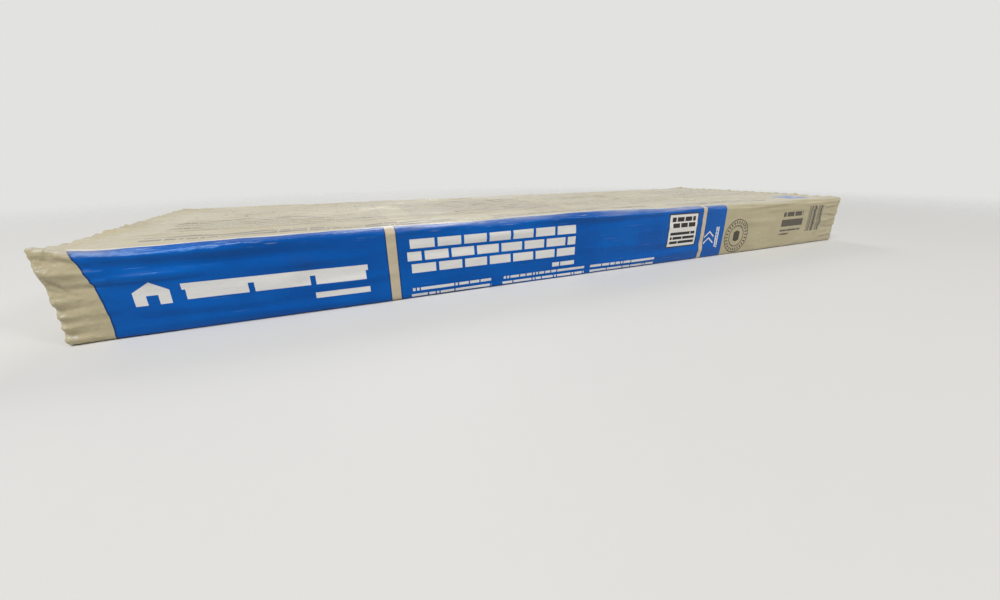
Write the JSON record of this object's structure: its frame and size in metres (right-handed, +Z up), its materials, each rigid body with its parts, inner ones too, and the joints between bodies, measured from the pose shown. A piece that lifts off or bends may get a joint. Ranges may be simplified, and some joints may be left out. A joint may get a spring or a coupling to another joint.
{
  "type": "asphalt shingle bundle",
  "caption": "Flat stack of asphalt strip shingles wrapped in one sheet of printed plastic film, with folded and tucked ends and a long lap underneath.",
  "frame": {"origin": "under the middle of the bundle, on the surface that it rests on", "axes": "+X along the bundle's length, +Y from the printed front side to the back, +Z up through the stack"},
  "size_m": [1.0138, 0.344, 0.0763],
  "materials": {
    "wrapper_film": "satin",
    "shingle_granules": "matte"
  },
  "bodies": {
    "root": {"wrapper": "wrapper_film", "shingles": "shingle_granules"}
  },
  "joints": []
}
